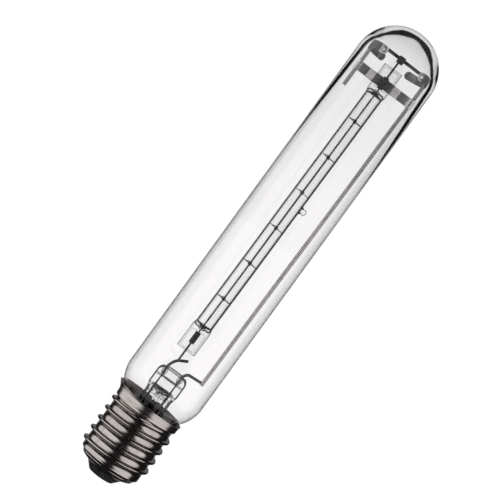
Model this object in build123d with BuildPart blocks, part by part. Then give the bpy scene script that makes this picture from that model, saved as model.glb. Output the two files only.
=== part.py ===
from build123d import *
from math import atan2, cos, pi, radians, sin, sqrt
import os

# Tubular double-envelope halogen lamp on an E40 screw cap.
# Millimetres. +Z runs up the lamp's axis from the cap's centre contact to the
# dome, the origin is the lowest point of the contact, and the burner's frame
# lies in the XZ plane with the long support rod at +X.

# ---------------------------------------------------------------- dimensions
overall_length = 286.0

# outer bulb
bulb_r = 23.0
glass_t = 0.9            # of the tube, shoulder and neck
thicken_from_z = 195.0   # the wall grows from here up to the dome
inner_apex_z = 282.4
dome_centre_z = overall_length - bulb_r
shoulder_z = 60.0
shoulder_r = 20.0
neck_r = 15.8
neck_blend_r = 8.0
neck_end_z = 20.7

# E40 cap
land_r = 17.6            # outside of the shell between the thread's crests
crest_r = 19.65          # top of the thread
thread_pitch = 6.35
sheet_t = 0.55
crest_round = 0.85       # radius of the crest's top
root_round = 0.75        # radius of the run from flank to land
thread_left_z = 12.9     # height of the lowest crest on the -X side
thread_from = 110.0      # where the thread fades in and out, in degrees round
thread_to = 180.0 + 4 * 360.0 + 125.0
thread_fade = 55.0
rim_mid_z = 46.9         # the rim's plane falls towards +X
rim_slope = 0.079

insulator_tip_r = 7.75
contact_r = 7.0
contact_z = 0.4
contact_t = 0.6
eyelet_r = 1.3

# stem
flare_r = 7.9
flare_t = 1.2
press_w = 17.7
press_t = 5.4
press_waist_t = 4.2
press_top_z = 68.3
press_imprint_z = 62.3
press_low_z = 57.0
flare_top_z = 52.6
exhaust_top_r = 2.3
exhaust_low_r = 1.75

# lead wires
lead_left_x = -4.96
lead_right_x = 4.46
inner_lead_r = 0.78
seal_lead_r = 0.435
seal_left_top_z = 63.3    # where the inner leads are welded on, inside the press
seal_right_top_z = 63.0
outer_lead_r = 0.65

# frame
rod_r = 1.05
strap_t = 0.35
strap_h = 5.1
strap_z = 254.05
spring_t = 0.25
spring_h = 4.5
spring_z = 266.8
bar_left_z = 270.4        # the top bar falls towards the long rod
bar_right_z = 269.3

# burner: its axis leans a little to +X on its way up
burner_foot = (-2.35, 0.0, 80.4)
burner_head = (-0.60, 0.0, 263.1)
quartz_r = 5.0
quartz_bore_r = 4.15
pinch_w = 11.2
pinch_t = 3.0            # over the rails at its two sides
pinch_flat_w = 8.2       # the pressed flats between the rails
pinch_flat_t = 2.3
foil_w = 3.1
foil_l = 6.95
foil_t = 0.1
burner_lead_r = 0.55
leg_r = 0.4
coil_r = 0.55
support_z = (113.8, 137.0, 160.0, 182.9, 205.8, 229.2)
support_ring_r = 3.92
support_wire_r = 0.2

os.makedirs("parts", exist_ok=True)



def oval(half_w, half_t, power):
    """Closed outline between an ellipse (power 2) and a rectangle (power high)."""
    outline = []
    for step in range(32):
        t = 2 * pi * step / 32
        outline.append((
            half_w * abs(cos(t)) ** (2 / power) * (1 if cos(t) >= 0 else -1),
            half_t * abs(sin(t)) ** (2 / power) * (1 if sin(t) >= 0 else -1),
        ))
    Spline(*outline, periodic=True)


# ---------------------------------------------------------------- outer bulb
# The wall is one section turned about the axis: dome, tube, shoulder, neck.


def bulb_section(inset):
    """Closed half section of the bulb: outside with inset 0, inside with the wall as inset."""
    blend = neck_blend_r + inset
    reach = sqrt((shoulder_r + neck_blend_r) ** 2 - (neck_r + neck_blend_r - (bulb_r - shoulder_r)) ** 2)
    blend_x = neck_r + neck_blend_r
    blend_z = shoulder_z - reach
    turn = atan2(reach, blend_x - (bulb_r - shoulder_r))
    cx = bulb_r - shoulder_r
    big = shoulder_r - inset
    joint = (cx + big * cos(turn), shoulder_z - big * sin(turn))
    side_r = bulb_r - inset
    side = (side_r, shoulder_z)
    mid_big = (cx + big * cos(turn / 2), shoulder_z - big * sin(turn / 2))
    mid_blend = (blend_x - blend * cos(turn / 2), blend_z + blend * sin(turn / 2))
    low = (neck_r - inset, blend_z)
    top_z = overall_length if inset == 0 else inner_apex_z
    Line((0, top_z), (0, neck_end_z))
    Line((0, neck_end_z), (neck_r - inset, neck_end_z))
    Line((neck_r - inset, neck_end_z), low)
    ThreePointArc(low, mid_blend, joint)
    ThreePointArc(joint, mid_big, side)
    if inset == 0:
        Line(side, (side_r, dome_centre_z))
        ThreePointArc(
            (side_r, dome_centre_z), (side_r * cos(pi / 4), dome_centre_z + side_r * sin(pi / 4)), (0, top_z)
        )
    else:
        Line(side, (side_r, thicken_from_z))
        Spline(
            (side_r, thicken_from_z), (22.0, 216.0), (21.72, 230.0), (21.4, 240.0), (20.98, 250.0), (20.55, 260.0),
            (20.25, 265.0), (19.75, 267.5), (18.8, 270.0), (16.2, 274.0), (12.0, 278.0), (6.6, 281.15), (0, top_z),
            tangents=[(0, 1), (-1, 0)],
        )


with BuildPart() as outer_bulb:
    with BuildSketch(Plane.XZ):
        with BuildLine():
            bulb_section(0.0)
        make_face()
        with BuildLine():
            bulb_section(glass_t)
        make_face(mode=Mode.SUBTRACT)
    revolve(axis=Axis.Z)
outer_bulb.part.label = "outer_bulb"
export_step(outer_bulb.part, "parts/outer_bulb.step")

# ---------------------------------------------------------------- cap shell blank
# One sheet: turned-in lower lip, barrel, plain band, flared rim. The thread is
# rolled into it at the end of this file.
with BuildPart() as shell_blank:
    with BuildSketch(Plane.XZ):
        with BuildLine():
            shell_line = FilletPolyline(
                (10.9, 4.4), (15.2, 6.2), (16.3, 8.0), (land_r, 9.0), (land_r, 40.4),
                (18.9, 41.3), (19.0, 44.2), (19.9, 46.4), (21.5, 48.8),
                radius=[0.7, 0.6, 0.8, 0.6, 0.6, 2.0, 3.0],
            )
            offset(shell_line, amount=sheet_t, side=Side.LEFT)
        make_face()
    revolve(axis=Axis.Z)

# ---------------------------------------------------------------- insulator and contact
with BuildPart() as cap_insulator:
    with BuildSketch(Plane.XZ):
        with BuildLine():
            Polyline(
                (eyelet_r + 0.5, 1.0), (contact_r, 1.0), (contact_r, 0.45), (insulator_tip_r - 0.35, 0.45),
                (insulator_tip_r, 0.85), (10.88, 4.37), (11.0, 4.75), (15.2, 6.5), (16.2, 8.3), (15.9, 9.3),
                (12.5, 9.9), (4.0, 8.6), (eyelet_r + 0.5, 8.0), close=True,
            )
        make_face()
    revolve(axis=Axis.Z)
    add(shell_blank.part, mode=Mode.SUBTRACT)
cap_insulator.part.label = "cap_insulator"
export_step(cap_insulator.part, "parts/cap_insulator.step")

with BuildPart() as centre_contact:
    with BuildSketch(Plane.XZ):
        with BuildLine():
            Polyline(
                (eyelet_r, contact_z), (contact_r - 0.3, contact_z), (contact_r - 0.02, contact_z + 0.28),
                (contact_r - 0.02, contact_z + contact_t), (eyelet_r + 0.45, contact_z + contact_t),
                (eyelet_r + 0.45, 2.2), (eyelet_r, 2.2), close=True,
            )
        make_face()
    revolve(axis=Axis.Z)
centre_contact.part.label = "centre_contact"
export_step(centre_contact.part, "parts/centre_contact.step")

with BuildPart() as contact_solder:
    with BuildSketch(Plane.XZ):
        with BuildLine():
            Line((0, 0), (1.5, 0))
            ThreePointArc((1.5, 0), (2.35, 0.12), (2.9, contact_z))
            Line((2.9, contact_z), (eyelet_r, contact_z))
            Line((eyelet_r, contact_z), (eyelet_r, 1.6))
            Line((eyelet_r, 1.6), (0, 1.6))
            Line((0, 1.6), (0, 0))
        make_face()
    revolve(axis=Axis.Z)
    with Locations((0, 0, 0.9)):
        Cylinder(outer_lead_r, 2.0, align=(Align.CENTER, Align.CENTER, Align.MIN), mode=Mode.SUBTRACT)
contact_solder.part.label = "contact_solder"
export_step(contact_solder.part, "parts/contact_solder.step")

with BuildPart() as capping_cement:
    with BuildSketch(Plane.XZ):
        with BuildLine():
            Polyline(
                (neck_r, 23.0), (land_r - sheet_t, 22.0), (land_r - sheet_t, 39.8), (neck_r + 0.7, 40.4),
                (neck_r, 39.9), close=True,
            )
        make_face()
    revolve(axis=Axis.Z)
capping_cement.part.label = "capping_cement"
export_step(capping_cement.part, "parts/capping_cement.step")

# ---------------------------------------------------------------- stem
# A flare tube whose upper end was pressed flat round the leads. The thicker
# top of the press ends in the line the jaws left.
flare_turn_x = 14.4
flare_turn_z = neck_end_z + flare_turn_x - flare_r

with BuildPart() as stem_body:
    with BuildSketch(Plane.XZ):
        with BuildLine():
            outer_turn = flare_turn_x - flare_r
            inner_turn = outer_turn + flare_t
            Line((flare_r, flare_top_z), (flare_r, flare_turn_z))
            ThreePointArc(
                (flare_r, flare_turn_z),
                (flare_turn_x - outer_turn * cos(pi / 4), flare_turn_z - outer_turn * sin(pi / 4)),
                (flare_turn_x, neck_end_z),
            )
            Line((flare_turn_x, neck_end_z), (neck_r, neck_end_z))
            Line((neck_r, neck_end_z), (neck_r - 0.3, neck_end_z - flare_t))
            Line((neck_r - 0.3, neck_end_z - flare_t), (flare_turn_x, neck_end_z - flare_t))
            ThreePointArc(
                (flare_turn_x, neck_end_z - flare_t),
                (flare_turn_x - inner_turn * cos(pi / 4), flare_turn_z - inner_turn * sin(pi / 4)),
                (flare_r - flare_t, flare_turn_z),
            )
            Line((flare_r - flare_t, flare_turn_z), (flare_r - flare_t, flare_top_z))
            Line((flare_r - flare_t, flare_top_z), (flare_r, flare_top_z))
        make_face()
    revolve(axis=Axis.Z)
    # the tube gathers into the press
    with BuildSketch(Plane.XY.offset(flare_top_z)):
        Circle(flare_r)
    with BuildSketch(Plane.XY.offset(press_low_z)):
        with BuildLine():
            oval(press_w / 2 - 0.02, press_waist_t / 2 - 0.02, 5)
        make_face()
    loft()
    with BuildSketch(Plane.XY.offset(flare_top_z)):
        Circle(flare_r - flare_t)
    with BuildSketch(Plane.XY.offset(press_low_z - 1.0)):
        with BuildLine():
            oval(press_w / 2 - 2.2, 0.6, 3)
        make_face()
    loft(mode=Mode.SUBTRACT)
    # press, waist and head, seen from the front
    with BuildSketch(Plane.XZ):
        with BuildLine():
            half = press_w / 2
            Line((-half, press_low_z - 0.4), (half, press_low_z - 0.4))
            Line((half, press_low_z - 0.4), (half, 63.4))
            ThreePointArc((half, 63.4), (half - 0.5, 65.9), (7.1, 67.4))
            Line((7.1, 67.4), (lead_right_x + 0.9, 67.6))
            Line((lead_right_x + 0.9, 67.6), (lead_right_x - 0.9, press_top_z))
            Line((lead_right_x - 0.9, press_top_z), (lead_left_x + 1.0, press_top_z))
            Line((lead_left_x + 1.0, press_top_z), (lead_left_x - 0.8, 67.6))
            Line((lead_left_x - 0.8, 67.6), (-7.1, 67.4))
            ThreePointArc((-7.1, 67.4), (-half + 0.5, 65.9), (-half, 63.4))
            Line((-half, 63.4), (-half, press_low_z - 0.4))
        make_face()
    extrude(amount=press_waist_t / 2, both=True)
    with BuildSketch(Plane.XZ):
        with BuildLine():
            Line((-half + 0.25, press_imprint_z), (half - 0.25, press_imprint_z))
            Line((half - 0.25, press_imprint_z), (half - 0.25, 63.5))
            ThreePointArc((half - 0.25, 63.5), (half - 0.8, 65.8), (6.9, 67.0))
            Line((6.9, 67.0), (-6.9, 67.0))
            ThreePointArc((-6.9, 67.0), (-half + 0.8, 65.8), (-half + 0.25, 63.5))
            Line((-half + 0.25, 63.5), (-half + 0.25, press_imprint_z))
        make_face()
    extrude(amount=press_t / 2, both=True)

with BuildPart() as exhaust_tube:
    with BuildSketch(Plane.XZ):
        with BuildLine():
            Line((1.0, press_low_z - 1.6), (exhaust_top_r, press_low_z - 1.6))
            Line((exhaust_top_r, press_low_z - 1.6), (exhaust_top_r, 53.0))
            Spline((exhaust_top_r, 53.0), (exhaust_low_r + 0.2, 50.0), (exhaust_low_r, 47.0), tangents=[(0, -1), (0, -1)])
            Line((exhaust_low_r, 47.0), (exhaust_low_r, 18.0))
            Spline((exhaust_low_r, 18.0), (1.2, 15.6), (0, 14.4), tangents=[(0, -1), (-1, 0)])
            Line((0, 14.4), (0, 17.2))
            Spline((0, 17.2), (0.7, 18.2), (0.85, 20.0), tangents=[(1, 0), (0, 1)])
            Line((0.85, 20.0), (0.85, 47.0))
            Line((0.85, 47.0), (1.0, press_low_z - 1.6))
        make_face()
    revolve(axis=Axis.Z)
exhaust_tube.part.label = "exhaust_tube"
export_step(exhaust_tube.part, "parts/exhaust_tube.step")

# ---------------------------------------------------------------- burner
burner_span = Vector(*burner_head) - Vector(*burner_foot)
burner_length = burner_span.length
burner_axis = burner_span.normalized()
burner_side = Vector(burner_axis.Z, 0, -burner_axis.X)
burner = Plane(origin=burner_foot, x_dir=burner_side, z_dir=burner_axis)
burner_front = Plane(origin=burner_foot, x_dir=burner_side, z_dir=burner_side.cross(burner_axis))


def along(z):
    """Length up the burner's axis at height z."""
    return (z - burner_foot[2]) / burner_axis.Z


low_shoulder = along(95.5)
high_shoulder = along(247.4)
low_foil = along(85.0)
high_foil = along(257.6) - foil_l
foil_y = -0.55

with BuildPart() as foil_lower:
    with BuildSketch(burner.offset(low_foil)):
        with Locations((0, foil_y)):
            Rectangle(foil_w, foil_t)
    extrude(amount=foil_l)
foil_lower.part.label = "foil_lower"
export_step(foil_lower.part, "parts/foil_lower.step")

with BuildPart() as foil_upper:
    with BuildSketch(burner.offset(high_foil)):
        with Locations((0, foil_y)):
            Rectangle(foil_w, foil_t)
    extrude(amount=foil_l)
foil_upper.part.label = "foil_upper"
export_step(foil_upper.part, "parts/foil_upper.step")

# outer leads lie on the foils, flattened where they are welded
with BuildPart() as burner_lead_lower:
    with BuildSketch(burner.offset(along(73.4))):
        Circle(burner_lead_r)
    extrude(amount=low_foil + 1.6 - along(73.4))
    add(foil_lower.part, mode=Mode.SUBTRACT)
burner_lead_lower.part.label = "burner_lead_lower"
export_step(burner_lead_lower.part, "parts/burner_lead_lower.step")

with BuildPart() as burner_lead_upper:
    with BuildSketch(burner.offset(high_foil + foil_l - 1.6)):
        Circle(burner_lead_r)
    extrude(amount=along(268.4) - (high_foil + foil_l - 1.6))
    add(foil_upper.part, mode=Mode.SUBTRACT)
burner_lead_upper.part.label = "burner_lead_upper"
export_step(burner_lead_upper.part, "parts/burner_lead_upper.step")

# The coil is a straight closed rod of the coil's outer size. Its two ends are
# slipped on the legs.
coil_low = along(99.5)
coil_high = along(243.5)
with BuildPart() as filament:
    with BuildSketch(burner.offset(coil_low)):
        Circle(coil_r)
    extrude(amount=coil_high - coil_low)
    with BuildSketch(burner.offset(coil_low)):
        Circle(leg_r)
    extrude(amount=4.0, mode=Mode.SUBTRACT)
    with BuildSketch(burner.offset(coil_high)):
        Circle(leg_r)
    extrude(amount=-4.0, mode=Mode.SUBTRACT)
filament.part.label = "filament"
export_step(filament.part, "parts/filament.step")

with BuildPart() as filament_leg_lower:
    with BuildSketch(burner.offset(low_foil + foil_l - 1.6)):
        with Locations((0, -0.15)):
            Circle(leg_r)
    extrude(amount=3.6)
    with BuildSketch(burner.offset(low_foil + foil_l + 2.0)):
        with Locations((0, -0.15)):
            Circle(leg_r)
    with BuildSketch(burner.offset(low_foil + foil_l + 4.5)):
        Circle(leg_r)
    loft()
    with BuildSketch(burner.offset(low_foil + foil_l + 4.5)):
        Circle(leg_r)
    extrude(amount=coil_low + 4.0 - (low_foil + foil_l + 4.5))
    add(foil_lower.part, mode=Mode.SUBTRACT)
filament_leg_lower.part.label = "filament_leg_lower"
export_step(filament_leg_lower.part, "parts/filament_leg_lower.step")

with BuildPart() as filament_leg_upper:
    with BuildSketch(burner.offset(high_foil + 1.6)):
        with Locations((0, -0.15)):
            Circle(leg_r)
    extrude(amount=-3.6)
    with BuildSketch(burner.offset(high_foil - 2.0)):
        with Locations((0, -0.15)):
            Circle(leg_r)
    with BuildSketch(burner.offset(high_foil - 4.5)):
        Circle(leg_r)
    loft()
    with BuildSketch(burner.offset(high_foil - 4.5)):
        Circle(leg_r)
    extrude(amount=-((high_foil - 4.5) - (coil_high - 4.0)))
    add(foil_upper.part, mode=Mode.SUBTRACT)
filament_leg_upper.part.label = "filament_leg_upper"
export_step(filament_leg_upper.part, "parts/filament_leg_upper.step")

# Quartz: round tube, a flat pinch at each end, and the sealed exhaust tip.
tip_at = along(175.0)
with BuildPart() as burner_tube:
    with BuildSketch(burner.offset(low_shoulder + 1.6)):
        Circle(quartz_r)
    extrude(amount=high_shoulder - low_shoulder - 3.2)
    with BuildSketch(burner.offset(low_shoulder + 1.6)):
        Circle(quartz_r)
    with BuildSketch(burner.offset(low_shoulder - 1.2)):
        with BuildLine():
            oval(pinch_w / 2, pinch_t / 2, 4)
        make_face()
    loft()
    with BuildSketch(burner):
        with BuildLine():
            oval(pinch_w / 2, pinch_t / 2, 4)
        make_face()
    extrude(amount=low_shoulder - 1.2)
    with BuildSketch(burner.offset(high_shoulder - 1.6)):
        Circle(quartz_r)
    with BuildSketch(burner.offset(high_shoulder + 1.2)):
        with BuildLine():
            oval(pinch_w / 2, pinch_t / 2, 4)
        make_face()
    loft()
    with BuildSketch(burner.offset(high_shoulder + 1.2)):
        with BuildLine():
            oval(pinch_w / 2, pinch_t / 2, 4)
        make_face()
    extrude(amount=burner_length - high_shoulder - 1.2)
    # the flats that the pinch jaws left between two rails
    for flat_from, flat_to in ((0.9, low_shoulder - 3.2), (high_shoulder + 3.2, burner_length - 0.9)):
        for face in (1, -1):
            flat_at = burner_front.from_local_coords((0, (flat_from + flat_to) / 2, face * pinch_flat_t / 2))
            with BuildSketch(Plane(origin=flat_at, x_dir=burner_side, z_dir=burner_front.z_dir * face)):
                RectangleRounded(pinch_flat_w, flat_to - flat_from, 1.2)
            extrude(amount=1.0, mode=Mode.SUBTRACT)
    # drawn-off exhaust tip on the +X side
    with BuildSketch(burner_front):
        with BuildLine():
            Line((4.0, tip_at), (4.0, tip_at + 2.7))
            Spline(
                (4.0, tip_at + 2.7), (quartz_r + 0.4, tip_at + 1.95), (quartz_r + 1.1, tip_at + 1.6),
                (quartz_r + 2.0, tip_at + 1.7), (quartz_r + 2.8, tip_at + 1.25), (quartz_r + 3.2, tip_at),
                tangents=[(1, -0.6), (0, -1)],
            )
            Line((quartz_r + 3.2, tip_at), (4.0, tip_at))
        make_face()
    revolve(axis=Axis(origin=burner_front.from_local_coords((4.0, tip_at, 0)), direction=burner_side))
    # bore, flattened at each end and closing to a point round the leg
    with BuildSketch(burner.offset(low_shoulder + 1.8)):
        Circle(quartz_bore_r)
    extrude(amount=high_shoulder - low_shoulder - 3.6, mode=Mode.SUBTRACT)
    for neck, inward in ((low_shoulder, 1), (high_shoulder, -1)):
        with BuildSketch(burner.offset(neck + inward * 1.8)):
            Circle(quartz_bore_r)
        with BuildSketch(burner.offset(neck - inward * 0.2)):
            with BuildLine():
                oval(3.95, 0.8, 3)
            make_face()
        loft(mode=Mode.SUBTRACT)
        with BuildSketch(burner.offset(neck - inward * 0.2)):
            with BuildLine():
                oval(3.95, 0.8, 3)
            make_face()
        with BuildSketch(burner.offset(neck - inward * 2.2)):
            with BuildLine():
                oval(0.6, 0.62, 2)
            make_face()
        loft(mode=Mode.SUBTRACT)
    for embedded in (foil_lower, foil_upper, burner_lead_lower, burner_lead_upper, filament_leg_lower, filament_leg_upper):
        add(embedded.part, mode=Mode.SUBTRACT)
burner_tube.part.label = "burner_tube"
export_step(burner_tube.part, "parts/burner_tube.step")

# Filament supports: a close-wound sleeve on the coil, one spoke and an open
# ring that touches the bore.
sleeve_turns = 4
for number, height in enumerate(support_z, start=1):
    here = burner.offset(along(height))
    front = Plane(origin=here.origin, x_dir=burner_side, z_dir=burner_side.cross(burner_axis))
    with BuildPart() as filament_support:
        with BuildSketch(front):
            with BuildLine():
                pitch = 0.44
                start = -sleeve_turns * pitch / 2
                Line((coil_r + 0.02, start), (0.8, start))
                for turn in range(sleeve_turns):
                    z = start + turn * pitch
                    ThreePointArc((0.8, z), (0.96, z + pitch / 2), (0.8, z + pitch))
                Line((0.8, -start), (coil_r + 0.02, -start))
                Line((coil_r + 0.02, -start), (coil_r + 0.02, start))
            make_face()
        revolve(axis=Axis(origin=here.origin, direction=burner_axis))
        with BuildLine(here):
            ring = CenterArc((0, 0), support_ring_r, 40, 320)
        with BuildSketch(Plane(origin=ring @ 0, x_dir=burner_axis, z_dir=ring % 0)):
            Circle(support_wire_r)
        sweep(path=ring)
        with BuildSketch(Plane(origin=here.from_local_coords((0.7, 0, 0)), x_dir=burner_axis, z_dir=burner_side)):
            Circle(support_wire_r - 0.01)
        extrude(amount=support_ring_r - 0.7)
    filament_support.part.label = f"filament_support_{number}"
    export_step(filament_support.part, f"parts/filament_support_{number}.step")

# ---------------------------------------------------------------- frame wire
# Rod, top bar and short left leg: one wire with two bends.
with BuildPart() as frame_wire:
    with BuildLine() as frame_path:
        FilletPolyline(
            (15.2, 0, 69.9), (16.95, 0, 235.0), (17.45, 0, 262.0), (17.5, 0, bar_right_z), (-16.95, 0, bar_left_z),
            (-17.1, 0, 241.7), radius=[150.0, 60.0, 2.2, 2.2],
        )
    with BuildSketch(Plane(origin=frame_path.line @ 0, z_dir=frame_path.line % 0)):
        Circle(rod_r)
    sweep(path=frame_path.line)
frame_wire.part.label = "frame_wire"
export_step(frame_wire.part, "parts/frame_wire.step")

# ---------------------------------------------------------------- seal wires
# Thin wires inside the press, between the inner and outer leads.
with BuildPart() as lead_seal_left:
    with BuildSketch(Plane.XY.offset(press_low_z + 0.6)):
        with Locations((lead_left_x, 0)):
            Circle(seal_lead_r)
    extrude(amount=seal_left_top_z - press_low_z - 0.6)
lead_seal_left.part.label = "lead_seal_left"
export_step(lead_seal_left.part, "parts/lead_seal_left.step")

with BuildPart() as lead_seal_right:
    with BuildSketch(Plane.XY.offset(press_low_z + 0.6)):
        with Locations((lead_right_x, 0)):
            Circle(seal_lead_r)
    extrude(amount=seal_right_top_z - press_low_z - 0.6)
lead_seal_right.part.label = "lead_seal_right"
export_step(lead_seal_right.part, "parts/lead_seal_right.step")

# ---------------------------------------------------------------- inner leads
# The left one is bent over as the hook that carries the burner and passes
# behind the burner's lead. The right one runs out to the rod's foot.
with BuildPart() as lead_inner_left:
    with BuildLine() as hook_path:
        FilletPolyline(
            (lead_left_x, 0, seal_left_top_z), (lead_left_x - 0.2, 0.05, 68.6), (-4.0, 0.65, 71.4), (-2.3, 1.1, 73.55),
            (2.4, 1.25, 76.1), radius=[3.0, 4.0, 3.0],
        )
    with BuildSketch(Plane(origin=hook_path.line @ 0, z_dir=hook_path.line % 0)):
        Circle(inner_lead_r)
    sweep(path=hook_path.line)
    add(burner_lead_lower.part, mode=Mode.SUBTRACT)
    add(lead_seal_left.part, mode=Mode.SUBTRACT)
lead_inner_left.part.label = "lead_inner_left"
export_step(lead_inner_left.part, "parts/lead_inner_left.step")

with BuildPart() as lead_inner_right:
    with BuildLine() as arm_path:
        FilletPolyline(
            (lead_right_x, 0, seal_right_top_z), (lead_right_x + 0.1, 0, 68.2), (6.2, 0, 70.55), (14.6, 0, 71.15), radius=[2.5, 2.4],
        )
    with BuildSketch(Plane(origin=arm_path.line @ 0, z_dir=arm_path.line % 0)):
        Circle(inner_lead_r)
    sweep(path=arm_path.line)
    add(frame_wire.part, mode=Mode.SUBTRACT)
    add(lead_seal_right.part, mode=Mode.SUBTRACT)
lead_inner_right.part.label = "lead_inner_right"
export_step(lead_inner_right.part, "parts/lead_inner_right.step")

# Outer leads: the left one is soldered to the shell's lower edge, the right one
# ends in the centre contact.
with BuildPart() as lead_outer_left:
    with BuildLine() as shell_lead_path:
        FilletPolyline(
            (lead_left_x, 0, press_low_z + 0.6), (lead_left_x, 0, 50.0), (-4.6, 0, 28.0), (-7.6, 0, 15.5), (-17.1, 0, 10.6),
            radius=[20.0, 12.0, 5.0],
        )
    with BuildSketch(Plane(origin=shell_lead_path.line @ 0, z_dir=shell_lead_path.line % 0)):
        Circle(outer_lead_r)
    sweep(path=shell_lead_path.line)
    add(shell_blank.part, mode=Mode.SUBTRACT)
lead_outer_left.part.label = "lead_outer_left"
export_step(lead_outer_left.part, "parts/lead_outer_left.step")

with BuildPart() as lead_outer_right:
    with BuildLine() as contact_lead_path:
        FilletPolyline(
            (lead_right_x, 0, press_low_z + 0.6), (lead_right_x, 0, 50.0), (4.3, 0, 20.0), (0, 0, 9.5), (0, 0, 0.9),
            radius=[20.0, 8.0, 5.0],
        )
    with BuildSketch(Plane(origin=contact_lead_path.line @ 0, z_dir=contact_lead_path.line % 0)):
        Circle(outer_lead_r)
    sweep(path=contact_lead_path.line)
lead_outer_right.part.label = "lead_outer_right"
export_step(lead_outer_right.part, "parts/lead_outer_right.step")

# The press closes round every wire that runs through it.
with BuildPart() as stem_glass:
    add(stem_body.part)
    for embedded in (lead_inner_left, lead_inner_right, lead_seal_left, lead_seal_right, lead_outer_left, lead_outer_right):
        add(embedded.part, mode=Mode.SUBTRACT)
    # seat of the exhaust tube, and the blow hole that opens from it to the back
    with Locations((0, 0, flare_top_z - 1.0)):
        Cylinder(exhaust_top_r, press_low_z - 1.6 - flare_top_z + 1.0, align=(Align.CENTER, Align.CENTER, Align.MIN), mode=Mode.SUBTRACT)
    with Locations((0, 0, press_low_z - 1.6)):
        Cylinder(0.9, 1.4, align=(Align.CENTER, Align.CENTER, Align.MIN), mode=Mode.SUBTRACT)
    with BuildSketch(Plane(origin=(0, 0, press_low_z - 0.9), x_dir=(1, 0, 0), z_dir=(0, 1, 0))):
        Circle(0.75)
    extrude(amount=8.0, mode=Mode.SUBTRACT)
stem_glass.part.label = "stem_glass"
export_step(stem_glass.part, "parts/stem_glass.step")

# ---------------------------------------------------------------- top clip
# One strip folded over the bar and pinched to a ridge on top, its two cheeks
# holding the burner's lead.
bar_dir = Vector(-16.95 - 17.5, 0, bar_left_z - bar_right_z).normalized() * -1
clip_x = -0.1
clip_z = bar_right_z + (17.5 - clip_x) / (17.5 + 16.95) * (bar_left_z - bar_right_z)
clip_section = Plane(origin=Vector(clip_x, 0, clip_z) - bar_dir * 1.9, x_dir=(0, 1, 0), z_dir=bar_dir)
with BuildPart() as top_clip:
    with BuildSketch(clip_section):
        Circle(rod_r + 0.42)
        with Locations((0, 1.45)):
            Rectangle(1.7, 1.0)
        with Locations((0, -1.35)):
            Rectangle(2 * (rod_r + 0.42), 2.7)
        with Locations((0, -1.35)):
            Rectangle(2 * burner_lead_r, 2.9, mode=Mode.SUBTRACT)
        Circle(rod_r, mode=Mode.SUBTRACT)
    extrude(amount=3.8)
    add(burner_lead_upper.part, mode=Mode.SUBTRACT)
    add(frame_wire.part, mode=Mode.SUBTRACT)
top_clip.part.label = "top_clip"
export_step(top_clip.part, "parts/top_clip.step")

# ---------------------------------------------------------------- strap
# Two mirrored halves: each wraps half of both legs, lies on the other half
# between leg and pinch, and steps out round the pinch.
strap_plane = Plane(origin=(0, 0, strap_z), x_dir=Vector(34.4, 0, -0.85).normalized(), z_dir=Vector(0.85, 0, 34.4).normalized())
with BuildPart() as band_front:
    with BuildSketch(strap_plane.offset(-strap_h / 2)):
        with BuildLine():
            strap_line = FilletPolyline(
                (-18.22, 0), (-18.22, -1.12), (-16.0, -1.12), (-15.2, 0), (-10.6, 0), (-6.6, -1.4), (5.2, -1.4), (9.4, 0),
                (15.3, 0), (16.15, -1.12), (18.38, -1.12), (18.38, 0),
                radius=[1.0, 0.4, 0.4, 0.8, 0.6, 0.6, 0.8, 0.4, 0.4, 1.0],
            )
            offset(strap_line, amount=strap_t, side=Side.RIGHT)
        make_face()
    extrude(amount=strap_h)
    add(frame_wire.part, mode=Mode.SUBTRACT)
    add(burner_tube.part, mode=Mode.SUBTRACT)
band_front.part.label = "band_front"
export_step(band_front.part, "parts/band_front.step")

with BuildPart() as band_back:
    add(mirror(band_front.part, about=Plane.XZ, mode=Mode.PRIVATE))
band_back.part.label = "band_back"
export_step(band_back.part, "parts/band_back.step")

# ---------------------------------------------------------------- springs
# Bowed strips welded to the frame's corners. Each end is rounded and has a
# raised dimple that bears on the glass.


def spring_blank(centre_x, inner_r, from_angle, to_angle):
    """Plan outline of a bowed strip."""
    outer_r = inner_r + spring_t
    inner = CenterArc((centre_x, 0), inner_r, from_angle, to_angle - from_angle)
    outer = CenterArc((centre_x, 0), outer_r, from_angle, to_angle - from_angle)
    Line(inner @ 0, outer @ 0)
    Line(inner @ 1, outer @ 1)


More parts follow.
